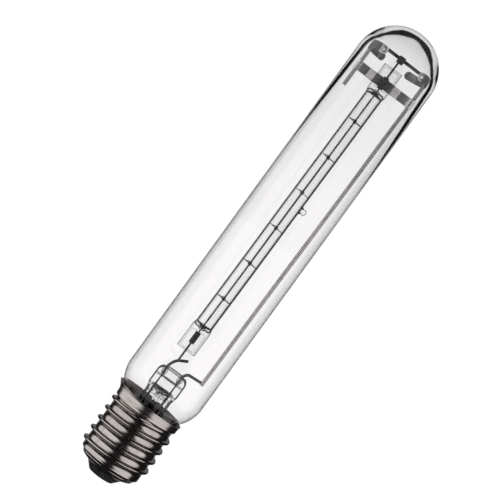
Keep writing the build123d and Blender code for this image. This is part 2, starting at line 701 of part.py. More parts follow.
spring_shapes = {
    # name: centre x, inner radius, end angles
    "spring_left": (2.0, 20.0, 120.2, 239.8),
    "spring_right": (-0.6, 19.13, -52.9, 69.8),
}
dimple_r = 1.75
dimple_ball = 2.5
springs = {}
for name, (centre_x, inner_r, from_angle, to_angle) in spring_shapes.items():
    with BuildPart() as spring:
        with BuildSketch(Plane.XY.offset(spring_z - spring_h / 2)):
            with BuildLine():
                spring_blank(centre_x, inner_r, from_angle, to_angle)
            make_face()
        extrude(amount=spring_h)
        for end_angle in (from_angle, to_angle):
            end_dir = Vector(cos(radians(end_angle)), sin(radians(end_angle)), 0)
            end_point = Vector(centre_x, 0, spring_z) + end_dir * (inner_r + spring_t / 2)
            corners = [
                edge for edge in spring.edges()
                if edge.length < spring_t * 1.5 and (edge.center() - end_point).length < spring_h
            ]
            fillet(corners, 2.1)
        for end_angle, back in ((from_angle, 1), (to_angle, -1)):
            at = radians(end_angle + back * 2.35 / inner_r * 180 / pi)
            out = Vector(cos(at), sin(at), 0)
            face_point = Vector(centre_x, 0, spring_z) + out * (inner_r + spring_t)
            drop = sqrt(dimple_ball**2 - dimple_r**2)
            ball_at = face_point - out * drop
            dome_plane = Plane(origin=ball_at, x_dir=(0, 0, 1), z_dir=out.cross(Vector(0, 0, 1)))
            # section of the dimple's dome in the plane that holds its axis
            side = dome_plane.y_dir.dot(out)
            rise = 1.0 if side > 0 else -1.0
            with BuildSketch(Plane(origin=face_point - out * (spring_t + 0.6), x_dir=(0, 0, 1), z_dir=out)):
                Circle(dimple_r - 0.12)
            extrude(amount=spring_t + 1.2, mode=Mode.SUBTRACT)
            with BuildSketch(dome_plane):
                with BuildLine():
                    wall = dimple_ball - spring_t
                    low_a = 0.985 * dimple_r
                    outer_end = (low_a, rise * sqrt(dimple_ball**2 - low_a**2))
                    inner_a = low_a - 0.16
                    inner_end = (inner_a, rise * sqrt(wall**2 - inner_a**2))
                    Line((0, rise * wall), (0, rise * dimple_ball))
                    ThreePointArc(
                        (0, rise * dimple_ball),
                        (low_a / 2, rise * sqrt(dimple_ball**2 - low_a**2 / 4)),
                        outer_end,
                    )
                    Line(outer_end, inner_end)
                    ThreePointArc(inner_end, (inner_a / 2, rise * sqrt(wall**2 - inner_a**2 / 4)), (0, rise * wall))
                make_face()
            revolve(axis=Axis(origin=ball_at, direction=out))
        add(frame_wire.part, mode=Mode.SUBTRACT)
    spring.part.label = name
    springs[name] = spring.part
    export_step(spring.part, f"parts/{name}.step")

# ---------------------------------------------------------------- cap shell
# The thread is a bead rolled outwards: the sheet follows it inside and out.

def thread_height(angle):
    return thread_left_z + thread_pitch * (angle - 180.0) / 360.0


def thread_depth(angle):
    """How far the bead has sunk below its full height near its two ends."""
    share = min((angle - thread_from) / thread_fade, (thread_to - angle) / thread_fade, 1.0)
    share = max(share, 0.0)
    return 2.3 * (1.0 - (3.0 * share**2 - 2.0 * share**3))


thread_steps = int((thread_to - thread_from) / 11.25)
thread_points = []
for step in range(thread_steps + 1):
    angle = thread_from + (thread_to - thread_from) * step / thread_steps
    radius = land_r - thread_depth(angle)
    thread_points.append((radius * cos(radians(angle)), radius * sin(radians(angle)), thread_height(angle)))

with BuildLine() as thread_path:
    Spline(*thread_points)
with BuildLine() as thread_axis:
    Line((0, 0, thread_height(thread_from)), (0, 0, thread_height(thread_to)))

thread_out = Vector(cos(radians(thread_from)), sin(radians(thread_from)), 0)
thread_plane = Plane(origin=thread_path.line @ 0, x_dir=thread_out, z_dir=thread_out.cross(Vector(0, 0, 1)))


def bead_section(top_round, foot_round, depth):
    """Rounded crest on concave feet, closed below the land."""
    top = crest_r - crest_round - land_r
    foot = root_round - 0.04
    half = sqrt((crest_round + root_round) ** 2 - (top - foot) ** 2)
    length = crest_round + root_round
    touch = (top + (foot - top) / length * top_round, half / length * top_round)
    start = atan2(touch[1] - half, touch[0] - foot)
    mid = (start - 2 * pi - pi) / 2 if start > 0 else (start - pi) / 2
    waist = (foot + foot_round * cos(mid), half + foot_round * sin(mid))
    low = foot - foot_round
    ThreePointArc((touch[0], -touch[1]), (top + top_round, 0), touch)
    ThreePointArc(touch, waist, (low, half))
    Line((low, half), (-depth, half))
    Line((-depth, half), (-depth, -half))
    Line((-depth, -half), (low, -half))
    ThreePointArc((low, -half), (waist[0], -waist[1]), (touch[0], -touch[1]))


with BuildPart() as shell_core:
    # everything inside the middle of the sheet, where no bead may reach
    with BuildSketch(Plane.XZ):
        with BuildLine():
            Polyline(
                (0, 4.75), (11.0, 4.75), (15.05, 6.45), (16.1, 8.2), (17.32, 9.15), (17.32, 40.5), (18.62, 41.45),
                (18.72, 44.2), (18.72, 45.0), (0, 45.0), close=True,
            )
        make_face()
    revolve(axis=Axis.Z)

with BuildPart() as thread_bead:
    with BuildSketch(thread_plane):
        with BuildLine():
            bead_section(crest_round, root_round, 0.35)
        make_face()
    sweep(path=thread_path.edge(), binormal=thread_axis.edge())
    add(shell_core.part, mode=Mode.SUBTRACT)

with BuildPart() as thread_groove:
    with BuildSketch(thread_plane):
        with BuildLine():
            bead_section(crest_round - sheet_t, root_round + sheet_t, sheet_t + 0.25)
        make_face()
    sweep(path=thread_path.edge(), binormal=thread_axis.edge())

with BuildPart() as cap_shell:
    add(shell_blank.part)
    add(thread_bead.part)
    add(thread_groove.part, mode=Mode.SUBTRACT)
    split(bisect_by=Plane(origin=(0, 0, rim_mid_z), z_dir=(rim_slope, 0, 1)), keep=Keep.BOTTOM)
cap_shell.part.label = "cap_shell"
export_step(cap_shell.part, "parts/cap_shell.step")
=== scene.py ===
import math

import bpy
import numpy as np
from mathutils import Matrix, Vector, noise


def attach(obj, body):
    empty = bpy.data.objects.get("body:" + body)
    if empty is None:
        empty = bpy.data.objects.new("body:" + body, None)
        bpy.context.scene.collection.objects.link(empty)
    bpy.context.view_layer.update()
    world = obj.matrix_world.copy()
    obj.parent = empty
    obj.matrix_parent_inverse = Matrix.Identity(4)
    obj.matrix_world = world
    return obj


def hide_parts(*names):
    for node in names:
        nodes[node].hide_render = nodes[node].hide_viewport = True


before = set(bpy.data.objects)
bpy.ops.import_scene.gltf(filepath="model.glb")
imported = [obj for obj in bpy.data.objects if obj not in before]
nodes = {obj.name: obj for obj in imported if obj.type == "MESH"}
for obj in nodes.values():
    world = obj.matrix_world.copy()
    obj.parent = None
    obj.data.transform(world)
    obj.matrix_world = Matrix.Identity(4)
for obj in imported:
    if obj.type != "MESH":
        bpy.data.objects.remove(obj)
scene = bpy.context.scene
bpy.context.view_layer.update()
MM = 0.001

# ------------------------------------------------------------------ node helpers


class Graph:
    """Short way to lay out a shader tree."""

    def __init__(self, tree):
        self.tree = tree
        self.tree.nodes.clear()

    def add(self, kind, props=None, **inputs):
        node = self.tree.nodes.new(kind)
        for key, value in (props or {}).items():
            setattr(node, key, value)
        for key, value in inputs.items():
            self.set(node, key.replace("_", " "), value)
        return node

    def set(self, node, key, value):
        socket = node.inputs[int(key)] if key.isdigit() else node.inputs[key]
        if isinstance(value, bpy.types.NodeSocket):
            self.tree.links.new(value, socket)
        else:
            socket.default_value = value

    def math(self, op, a, b=0.0, c=0.0, clamp=False):
        node = self.tree.nodes.new("ShaderNodeMath")
        node.operation = op
        node.use_clamp = clamp
        for i, value in enumerate((a, b, c)):
            if isinstance(value, bpy.types.NodeSocket):
                self.tree.links.new(value, node.inputs[i])
            else:
                node.inputs[i].default_value = value
        return node.outputs[0]

    def ramp(self, value, low, high, out_low=0.0, out_high=1.0, smooth=True):
        node = self.tree.nodes.new("ShaderNodeMapRange")
        node.interpolation_type = "SMOOTHSTEP" if smooth else "LINEAR"
        node.clamp = True
        self.tree.links.new(value, node.inputs["Value"])
        for key, number in (("From Min", low), ("From Max", high), ("To Min", out_low), ("To Max", out_high)):
            node.inputs[key].default_value = number
        return node.outputs["Result"]

    def mix_color(self, factor, a, b):
        node = self.tree.nodes.new("ShaderNodeMix")
        node.data_type = "RGBA"
        for index, value in ((0, factor), (6, a), (7, b)):
            if isinstance(value, bpy.types.NodeSocket):
                self.tree.links.new(value, node.inputs[index])
            else:
                node.inputs[index].default_value = value
        return node.outputs[2]

    def noise(self, vector, scale, detail=3.0, rough=0.5, distortion=0.0):
        node = self.add("ShaderNodeTexNoise", Scale=scale, Detail=detail, Roughness=rough, Distortion=distortion)
        self.tree.links.new(vector, node.inputs["Vector"])
        return node.outputs["Fac"]

    def object_space(self, scale=(1, 1, 1), rotation=(0, 0, 0)):
        coords = self.add("ShaderNodeTexCoord")
        mapping = self.add("ShaderNodeMapping", Scale=scale, Rotation=rotation)
        self.tree.links.new(coords.outputs["Object"], mapping.inputs["Vector"])
        return mapping.outputs["Vector"]

    def bump(self, height, strength, distance, normal=None):
        node = self.add("ShaderNodeBump", Strength=strength, Distance=distance)
        self.tree.links.new(height, node.inputs["Height"])
        if normal is not None:
            self.tree.links.new(normal, node.inputs["Normal"])
        return node.outputs["Normal"]

    def finish(self, shader):
        out = self.tree.nodes.new("ShaderNodeOutputMaterial")
        self.tree.links.new(shader, out.inputs["Surface"])


def material(name):
    mat = bpy.data.materials.new(name)
    mat.use_nodes = True
    return mat, Graph(mat.node_tree)


def rgb(r, g, b):
    return (r, g, b, 1.0)


# ------------------------------------------------------------------ glass


def bend_dark(g, ior, ratio, soft_from=15.5, soft_to=22.0):
    """How dark a tube's wall looks where it is seen along.

    A ray inside the glass that meets the bore at angle asin(s) leaves the tube bent
    by 2 (asin(n s) - asin(s) - asin(n s q) + asin(s q)), where q is bore to outside.
    Past about 20 degrees it no longer comes from the white paper behind the lamp; the wall is painted dark there, as
    painted shade.
    """
    weight = g.add("ShaderNodeLayerWeight", Blend=0.5)
    cosine = g.math("SUBTRACT", 1.0, weight.outputs["Facing"])
    s = g.math("SQRT", g.math("MAXIMUM", g.math("SUBTRACT", 1.0, g.math("MULTIPLY", cosine, cosine)), 0.0))
    ns = g.math("MINIMUM", g.math("MULTIPLY", s, ior), 1.0)
    sq = g.math("MULTIPLY", s, ratio)
    nsq = g.math("MINIMUM", g.math("MULTIPLY", sq, ior), 1.0)
    inside = g.math("SUBTRACT", g.math("ARCSINE", ns), g.math("ARCSINE", s))
    outside = g.math("SUBTRACT", g.math("ARCSINE", nsq), g.math("ARCSINE", sq))
    bend = g.math("MULTIPLY", g.math("SUBTRACT", inside, outside), 2.0)
    full = g.ramp(bend, math.radians(soft_from), math.radians(soft_to))
    faint = g.ramp(bend, math.radians(4.0), math.radians(14.0), 0.0, 0.1)
    side = g.add("ShaderNodeNewGeometry")
    return g.math("MULTIPLY", g.math("MAXIMUM", full, faint), side.outputs["Backfacing"])


def glass_with_painted_shade(g, shader, dark, depth=0.0):
    """Glass mixed with a black surface where dark is 1, which paints shade into it."""
    black = g.add("ShaderNodeBsdfDiffuse", Color=rgb(depth, depth, depth))
    mix = g.add("ShaderNodeMixShader")
    g.tree.links.new(dark, mix.inputs[0])
    g.tree.links.new(shader.outputs[0], mix.inputs[1])
    g.tree.links.new(black.outputs[0], mix.inputs[2])
    g.finish(mix.outputs[0])


def glass_base(g, tint, ior, wave_scale, wave_depth, smear):
    shader = g.add("ShaderNodeBsdfPrincipled")
    shader.inputs["Roughness"].default_value = 0.0
    shader.inputs["IOR"].default_value = ior
    shader.inputs["Transmission Weight"].default_value = 1.0
    place = g.object_space((1, 1, 0.18))
    wave = g.noise(place, wave_scale, 2.0, 0.45)
    g.set(shader, "Normal", g.bump(wave, 0.35, wave_depth))
    if smear:
        dust = g.noise(g.object_space((1, 1, 0.5)), 160.0, 4.0, 0.6)
        g.set(shader, "Roughness", g.ramp(dust, 0.45, 0.8, 0.0, smear))
    seed = g.noise(g.object_space(), 400.0, 2.0)
    g.set(shader, "Base Color", g.mix_color(g.ramp(seed, 0.3, 0.7), tint, tuple(0.985 * c for c in tint[:3]) + (1.0,)))
    return shader


def split_place(g):
    place = g.add("ShaderNodeTexCoord")
    split = g.add("ShaderNodeSeparateXYZ")
    g.tree.links.new(place.outputs["Object"], split.inputs[0])
    return split.outputs["X"], split.outputs["Y"], split.outputs["Z"]


def bulb_outside():
    mat, g = material("bulb_glass_outside")
    shader = glass_base(g, rgb(0.985, 0.975, 0.98), 1.47, 22.0, 0.00025, 0.02)
    g.finish(shader.outputs[0])
    return mat


def bulb_inside():
    """Bore of the outer bulb, with painted shade. Near the angle of total reflection the light bends furthest, and the
    thicker the wall the wider the dark line painted there.
    """
    mat, g = material("bulb_glass_inside")
    shader = glass_base(g, rgb(0.985, 0.975, 0.98), 1.47, 18.0, 0.00025, 0.0)
    z = split_place(g)[2]
    weight = g.add("ShaderNodeLayerWeight", Blend=0.5)
    side = g.add("ShaderNodeNewGeometry")
    cosine = g.math("SUBTRACT", 1.0, weight.outputs["Facing"])
    s = g.math("SQRT", g.math("MAXIMUM", g.math("SUBTRACT", 1.0, g.math("MULTIPLY", cosine, cosine)), 0.0))
    ripple = g.math("MULTIPLY", g.math("SUBTRACT", g.noise(g.object_space((1, 1, 0.3)), 45.0, 3.0), 0.5), 0.012)
    s = g.math("ADD", s, ripple)
    # painted shade: dark lines and a broad darkening of the dome, set by height and by the angle the bore is seen at
    low = g.math("ADD", g.math("ADD", g.ramp(z, 0.195, 0.252, 0.683, 0.657), g.ramp(z, 0.266, 0.275, 0.0, 0.02)), g.ramp(z, 0.274, 0.281, 0.0, -0.028))
    high = g.math("ADD", g.ramp(z, 0.195, 0.252, 0.696, 0.716), g.ramp(z, 0.268, 0.2725, 0.0, 0.006))
    high = g.math("ADD", high, g.math("ADD", g.ramp(z, 0.2725, 0.277, 0.0, 0.019), g.ramp(z, 0.277, 0.279, 0.0, 0.004)))
    high = g.math("ADD", high, g.math("ADD", g.ramp(z, 0.2783, 0.2815, 0.0, -0.022), g.ramp(z, 0.2819, 0.2824, 0.0, 0.022)))
    blur = g.math("ADD", g.ramp(z, 0.21, 0.27, 0.005, 0.0095), g.ramp(z, 0.272, 0.2805, 0.0, 0.002))
    after = g.math("DIVIDE", g.math("SUBTRACT", s, low), blur)
    before = g.math("DIVIDE", g.math("SUBTRACT", high, s), blur)
    line = g.math("MULTIPLY", g.ramp(after, -1.0, 1.0), g.ramp(before, -1.0, 1.0))
    line = g.math("MULTIPLY", line, g.math("MULTIPLY", g.ramp(z, 0.17, 0.235, 0.62, 1.0), g.math("MULTIPLY", g.ramp(z, 0.262, 0.272, 1.0, 0.98), g.ramp(z, 0.2812, 0.2822, 1.0, 0.9))))
    low_line = g.math("MULTIPLY", g.ramp(s, 0.675, 0.69), g.ramp(z, 0.16, 0.2, 0.28, 0.0))
    soft = g.math("MULTIPLY", g.ramp(s, 0.2, 0.5), g.ramp(z, 0.268, 0.279, 0.0, 0.13))
    dome_shade = g.math("MULTIPLY", g.math("ADD", g.ramp(z, 0.17, 0.252, 0.025, 0.12), soft), g.ramp(s, 0.68, 0.72, 1.0, 0.3))
    dark = g.math("MAXIMUM", g.math("MAXIMUM", line, low_line), dome_shade)
    glass_with_painted_shade(g, shader, g.math("MULTIPLY", dark, side.outputs["Backfacing"]), 0.012)
    return mat


def quartz():
    """Burner glass with painted shade. Its bore is painted dark like the bulb's, its pinches where their edges turn
    away.
    """
    mat, g = material("quartz_glass")
    shader = glass_base(g, rgb(0.98, 0.98, 0.985), 1.46, 60.0, 0.0003, 0.01)
    x, y, z = split_place(g)
    axis = g.math("ADD", -0.00235, g.math("MULTIPLY", g.math("SUBTRACT", z, 0.0804), 1.75 / 182.7))
    u = g.math("SUBTRACT", x, axis)
    away = g.math("SQRT", g.math("ADD", g.math("MULTIPLY", u, u), g.math("MULTIPLY", y, y)))
    in_tube = g.math("MULTIPLY", g.ramp(z, 0.0945, 0.096), g.ramp(z, 0.2468, 0.2482, 1.0, 0.0))
    bore = g.math("MULTIPLY", g.math("LESS_THAN", away, 0.00435), in_tube)
    wall = g.math("MULTIPLY", bend_dark(g, 1.46, 0.83, 21.0, 27.0), bore)
    bevel = g.add("ShaderNodeBevel", {"samples": 6}, Radius=0.0007)
    turned = g.add("ShaderNodeLayerWeight", Blend=0.5)
    g.tree.links.new(bevel.outputs[0], turned.inputs["Normal"])
    edge = g.math("MULTIPLY", g.math("MAXIMUM", g.ramp(turned.outputs["Facing"], 0.06, 0.36, 0.0, 0.72), g.ramp(g.math("ABSOLUTE", u), 0.00405, 0.0043, 0.0, 0.14)), g.math("SUBTRACT", 1.0, in_tube))
    plain = g.add("ShaderNodeLayerWeight", Blend=0.5)
    tip = g.math("MULTIPLY", g.math("MULTIPLY", g.math("GREATER_THAN", away, 0.00515), in_tube), g.ramp(plain.outputs["Facing"], 0.2, 0.55, 0.0, 0.92))
    glass_with_painted_shade(g, shader, g.math("MAXIMUM", g.math("MAXIMUM", wall, edge), tip))
    return mat


def stem_glass():
    """Lead glass of the stem, with painted shade: dark where the press turns away at its edges and where the flare is
    seen along.
    """
    mat, g = material("stem_glass")
    shader = glass_base(g, rgb(0.95, 0.955, 0.96), 1.18, 90.0, 0.0006, 0.01)
    x, y, z = split_place(g)
    in_press = g.ramp(z, 0.0545, 0.057)
    bevel = g.add("ShaderNodeBevel", {"samples": 8}, Radius=0.0014)
    turned = g.add("ShaderNodeLayerWeight", Blend=0.5)
    g.tree.links.new(bevel.outputs[0], turned.inputs["Normal"])
    edge = g.math("MULTIPLY", g.ramp(turned.outputs["Facing"], 0.03, 0.2), in_press)
    plain = g.add("ShaderNodeLayerWeight", Blend=0.5)
    tube = g.math("MULTIPLY", g.ramp(plain.outputs["Facing"], 0.64, 0.8), g.math("SUBTRACT", 1.0, in_press))
    # painted shade: the rounded sides and shoulders of the press act as thick rods and are painted dark
    side_x = g.math("MAXIMUM", g.math("SUBTRACT", g.math("ABSOLUTE", x), 0.00885 - 0.0034), 0.0)
    side_z = g.math("MAXIMUM", g.math("SUBTRACT", z, 0.0675 - 0.0034), 0.0)
    round_off = g.math("SUBTRACT", g.math("SQRT", g.math("ADD", g.math("MULTIPLY", side_x, side_x), g.math("MULTIPLY", side_z, side_z))), 0.0034)
    rod = g.math("MULTIPLY", g.ramp(round_off, -0.00105, -0.00065), g.ramp(g.math("ABSOLUTE", x), 0.0056, 0.0068))
    rod = g.math("MULTIPLY", g.math("MULTIPLY", rod, g.ramp(z, 0.0530, 0.0545)), 0.93)
    edge = g.math("MAXIMUM", edge, g.math("MULTIPLY", rod, g.math("LESS_THAN", y, -0.0008)))
    # painted shade over the wavy fold the pressing leaves between the wires, over the drops of glass that draw up round
    # them, and over a blotched seam where press and flare meet
    sway = g.noise(g.object_space((1, 0, 0)), 330.0, 2.0)
    fold_shade = g.math("DIVIDE", g.math("SUBTRACT", g.math("SUBTRACT", z, 0.06165), g.math("MULTIPLY", sway, 0.0024)), 0.0005)
    fold_shade = g.math("EXPONENT", g.math("MULTIPLY", g.math("MULTIPLY", fold_shade, fold_shade), -1.0))
    fold_shade = g.math("MULTIPLY", fold_shade, g.ramp(g.math("ABSOLUTE", x), 0.0042, 0.0056, 0.95, 0.2))
    press_shade = fold_shade
    for wire_x in (-0.00496, 0.00446):
        across = g.math("SUBTRACT", x, wire_x)
        down = g.math("MULTIPLY", g.math("SUBTRACT", z, 0.0657), 0.6)
        ring = g.math("SQRT", g.math("ADD", g.math("MULTIPLY", across, across), g.math("MULTIPLY", down, down)))
        ring = g.math("ADD", ring, g.math("MULTIPLY", g.math("SUBTRACT", sway, 0.5), 0.0006))
        ring = g.math("DIVIDE", g.math("SUBTRACT", ring, 0.00135), 0.00024)
        ring = g.math("EXPONENT", g.math("MULTIPLY", g.math("MULTIPLY", ring, ring), -1.0))
        press_shade = g.math("MAXIMUM", press_shade, g.math("MULTIPLY", ring, g.ramp(z, 0.0668, 0.0678, 0.97, 0.3)))
    blot = g.noise(g.object_space((1, 1, 1.5)), 460.0, 3.0, 0.6)
    seam_shade = g.math("MULTIPLY", g.ramp(z, 0.0527, 0.0538), g.ramp(z, 0.0556, 0.0568, 1.0, 0.0))
    seam_shade = g.math("MULTIPLY", g.math("MULTIPLY", seam_shade, g.ramp(blot, 0.5, 0.57)), g.ramp(g.math("ABSOLUTE", x), 0.0045, 0.0065, 0.85, 0.1))
    press_shade = g.math("MULTIPLY", g.math("MAXIMUM", press_shade, seam_shade), g.math("LESS_THAN", y, -0.001))
    glass_with_painted_shade(g, shader, g.math("MAXIMUM", g.math("MAXIMUM", edge, tube), press_shade))
    return mat


glass_outside = bulb_outside()
glass_inside = bulb_inside()
stem_mat = stem_glass()
quartz_mat = quartz()

# ------------------------------------------------------------------ metals


def metal(name, light, dark, rough, grain_scale=(60, 60, 8), grain=0.25, blotch=30.0, blotch_mix=0.6, bump=0.00002, detail=400.0):
    """Bare or plated metal: blotched colour, drawn or rolled grain, and fine scratches."""
    mat, g = material(name)
    shader = g.add("ShaderNodeBsdfPrincipled")
    shader.inputs["Metallic"].default_value = 1.0
    cloud = g.noise(g.object_space(), blotch, 5.0, 0.6, 0.4)
    lines = g.noise(g.object_space(grain_scale), 20.0, 4.0, 0.65)
    fine = g.noise(g.object_space(), detail, 3.0, 0.6)
    shade = g.math("ADD", g.math("MULTIPLY", g.ramp(cloud, 0.3, 0.72), blotch_mix), g.math("MULTIPLY", g.ramp(lines, 0.3, 0.7), 1.0 - blotch_mix))
    g.set(shader, "Base Color", g.mix_color(shade, light, dark))
    wear = g.math("ADD", g.ramp(lines, 0.25, 0.75, rough * (1 - grain), rough * (1 + grain)), g.ramp(cloud, 0.4, 0.8, 0.0, rough * 0.4))
    g.set(shader, "Roughness", wear)
    height = g.math("ADD", g.math("MULTIPLY", lines, 0.7), g.math("MULTIPLY", fine, 0.3))
    g.set(shader, "Normal", g.bump(height, 0.5, bump))
    g.finish(shader.outputs[0])
    return mat




def cap_metal():
    """Nickel-plated shell. The rolling leaves the sheet hollow between the crests, draws it round the lamp, and the
    inside of the flared rim is rougher, less metallic and stain-mottled, its colour darkened with painted shade."""
    mat, g = material("cap_metal")
    shader = g.add("ShaderNodeBsdfPrincipled")
    shader.inputs["Metallic"].default_value = 1.0
    x, y, z = split_place(g)
    turn = g.math("DIVIDE", g.math("ARCTAN2", y, x), 2 * math.pi)
    phase = g.math("SUBTRACT", g.math("DIVIDE", g.math("SUBTRACT", z, 0.0129), 0.00635), g.math("SUBTRACT", turn, 0.5))
    wave = g.math("COSINE", g.math("MULTIPLY", phase, 2 * math.pi))
    threaded = g.math("MULTIPLY", g.ramp(z, 0.0085, 0.0105), g.ramp(z, 0.0385, 0.0405, 1.0, 0.0))
    hollow = g.math("MULTIPLY", g.math("MINIMUM", g.math("ADD", wave, -0.25), 0.0), threaded)
    lip = g.math("DIVIDE", g.math("SUBTRACT", z, 0.0073), 0.00042)
    bead = g.math("EXPONENT", g.math("MULTIPLY", g.math("MULTIPLY", lip, lip), -1.0))
    cloud = g.noise(g.object_space(), 55.0, 5.0, 0.6, 0.4)
    lines = g.noise(g.object_space((3, 3, 60)), 20.0, 4.0, 0.65)
    fine = g.noise(g.object_space(), 400.0, 3.0, 0.6)
    stain = g.noise(g.object_space((1, 1, 0.5)), 140.0, 5.0, 0.7)
    shade = g.math("ADD", g.math("MULTIPLY", g.ramp(cloud, 0.3, 0.72), 0.6), g.math("MULTIPLY", g.ramp(lines, 0.3, 0.7), 0.4))
    clean_and_glint = g.mix_color(shade, rgb(0.62, 0.575, 0.555), rgb(0.43, 0.385, 0.37))
    grimy = g.mix_color(g.ramp(stain, 0.55, 0.75, 0.0, 0.5), clean_and_glint, rgb(0.16, 0.135, 0.12))
    # facing the axis, above the cement: the inside of the rim, painted darker as painted shade
    normal = g.add("ShaderNodeTexCoord")
    parts = g.add("ShaderNodeSeparateXYZ")
    g.tree.links.new(normal.outputs["Normal"], parts.inputs[0])
    inward = g.math("ADD", g.math("MULTIPLY", parts.outputs["X"], x), g.math("MULTIPLY", parts.outputs["Y"], y))
    inner = g.ramp(g.math("MULTIPLY", inward, -1.0), 0.002, 0.008)
    g.set(shader, "Base Color", g.mix_color(inner, grimy, g.mix_color(g.ramp(stain, 0.4, 0.65), rgb(0.46, 0.41, 0.39), rgb(0.24, 0.21, 0.195))))
    rough = g.math("ADD", g.ramp(lines, 0.25, 0.75, 0.09, 0.17), g.ramp(stain, 0.5, 0.8, 0.0, 0.12))
    band = g.ramp(z, 0.0400, 0.0415, 0.0, 0.06)
    g.set(shader, "Roughness", g.math("MAXIMUM", g.math("ADD", rough, band), g.math("MULTIPLY", inner, 0.45)))
    g.set(shader, "Metallic", g.ramp(inner, 0.0, 1.0, 1.0, 0.25, False))
    flare = g.math("ADD", g.ramp(z, 0.0425, 0.0465, 0.0, -1.35, False), g.ramp(z, 0.0465, 0.0490, 0.0, -1.0, False))
    form = g.bump(g.math("ADD", g.math("ADD", g.math("MULTIPLY", hollow, 0.33), g.math("MULTIPLY", bead, 0.28)), flare), 1.0, 0.001)
    height = g.math("ADD", g.math("MULTIPLY", lines, 0.7), g.math("MULTIPLY", fine, 0.3))
    g.set(shader, "Normal", g.bump(height, 0.5, 0.00002, form))
    g.finish(shader.outputs[0])
    return mat


cap_mat = cap_metal()
contact_mat = metal("contact_metal", rgb(0.72, 0.60, 0.38), rgb(0.45, 0.36, 0.22), 0.28, (40, 40, 40), 0.3, 90.0, 0.7)
solder_mat = metal("solder", rgb(0.62, 0.62, 0.63), rgb(0.42, 0.42, 0.43), 0.3, (60, 60, 60), 0.4, 200.0, 0.8, 0.00006)
lead_mat = metal("lead_wire", rgb(0.10, 0.095, 0.09), rgb(0.05, 0.048, 0.046), 0.35, (150, 150, 20), 0.3, 120.0, 0.6)
seal_mat = metal("seal_wire", rgb(0.09, 0.08, 0.075), rgb(0.05, 0.045, 0.042), 0.4, (150, 150, 20), 0.3, 160.0, 0.6)


def frame_metal():
    """Nickel-plated wire, darker towards the top and near black in a narrow band just above the burner."""
    mat, g = material("frame_metal")
    shader = g.add("ShaderNodeBsdfPrincipled")
    shader.inputs["Metallic"].default_value = 1.0
    z = split_place(g)[2]
    cloud = g.noise(g.object_space(), 60.0, 5.0, 0.6, 0.4)
    lines = g.noise(g.object_space((180, 180, 6)), 20.0, 4.0, 0.65)
    shade = g.math("ADD", g.math("MULTIPLY", g.ramp(cloud, 0.3, 0.72), 0.5), g.math("MULTIPLY", g.ramp(lines, 0.3, 0.7), 0.5))
    plated = g.mix_color(shade, rgb(0.56, 0.54, 0.54), rgb(0.36, 0.345, 0.345))
    top_tone = g.mix_color(g.ramp(z, 0.17, 0.25), plated, g.mix_color(shade, rgb(0.36, 0.35, 0.35), rgb(0.22, 0.215, 0.215)))
    g.set(shader, "Base Color", g.mix_color(g.ramp(z, 0.2665, 0.2692), top_tone, rgb(0.05, 0.05, 0.052)))
    g.set(shader, "Roughness", g.ramp(lines, 0.25, 0.75, 0.22, 0.36))
    g.set(shader, "Normal", g.bump(lines, 0.5, 0.00002))
    g.finish(shader.outputs[0])
    return mat


def spring_metal(name, side, start):
    """Rolled strip with a mottled grey skin: painted light on its front half, painted shade on its back half and
    towards the leg.
    """
    mat, g = material(name)
    shader = g.add("ShaderNodeBsdfPrincipled")
    shader.inputs["Metallic"].default_value = 1.0
    x, y, z = split_place(g)
    cloud = g.noise(g.object_space(), 210.0, 5.0, 0.65, 0.5)
    lines = g.noise(g.object_space((20, 20, 160)), 20.0, 4.0, 0.65)
    shade = g.math("ADD", g.math("MULTIPLY", g.ramp(cloud, 0.38, 0.62), 0.75), g.math("MULTIPLY", g.ramp(lines, 0.3, 0.7), 0.25))
    # painted light on the front half and painted shade on the back half; painted shade towards the leg
    lit_side = g.mix_color(shade, rgb(0.92, 0.90, 0.89), rgb(0.52, 0.51, 0.50))
    shaded_side = g.mix_color(shade, rgb(0.30, 0.29, 0.29), rgb(0.12, 0.115, 0.115))
    shade_tone = g.mix_color(shade, rgb(0.09, 0.087, 0.087), rgb(0.03, 0.029, 0.029))
    outer = g.ramp(g.math("ADD", g.math("MULTIPLY", x, side), g.math("MULTIPLY", cloud, 0.0016)), start, start + 0.0012)
    painted_halves = g.mix_color(g.math("LESS_THAN", y, 0.0), shaded_side, lit_side)
    g.set(shader, "Base Color", g.mix_color(outer, painted_halves, shade_tone))
    g.set(shader, "Roughness", g.ramp(cloud, 0.3, 0.7, 0.3, 0.5))
    g.set(shader, "Normal", g.bump(g.math("ADD", lines, g.math("MULTIPLY", cloud, 1.5)), 0.5, 0.00004))
    g.finish(shader.outputs[0])
    return mat


frame_mat = frame_metal()
spring_left_mat = spring_metal("spring_strip_left", -1.0, 0.0122)
spring_right_mat = spring_metal("spring_strip_right", 1.0, 0.0136)


